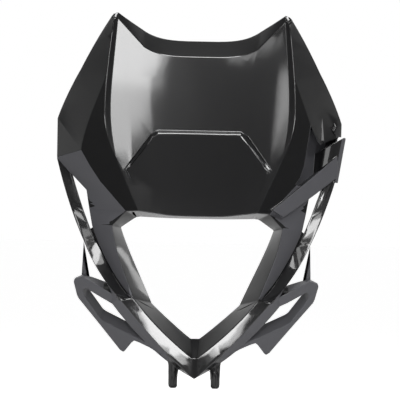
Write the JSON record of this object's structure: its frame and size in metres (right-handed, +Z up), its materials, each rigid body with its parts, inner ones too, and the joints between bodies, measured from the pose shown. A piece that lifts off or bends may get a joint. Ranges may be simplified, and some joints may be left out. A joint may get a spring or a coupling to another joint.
{
  "type": "motorcycle headlight mask",
  "caption": "Moulded front mask for an off-road motorbike, with a number panel, a headlight opening, strap loops and locating pins.",
  "frame": {"origin": "midway between the two locating pins, on the top of the bracket that they go into, 5 mm below the V bar", "axes": "+Z up, -Y towards the front, +X to the right of someone who looks at the front"},
  "size_m": [0.2906, 0.1197, 0.3749],
  "materials": {
    "moulded_plastic": "gloss"
  },
  "bodies": {
    "root": {"mask_shell": "moulded_plastic"}
  },
  "joints": []
}
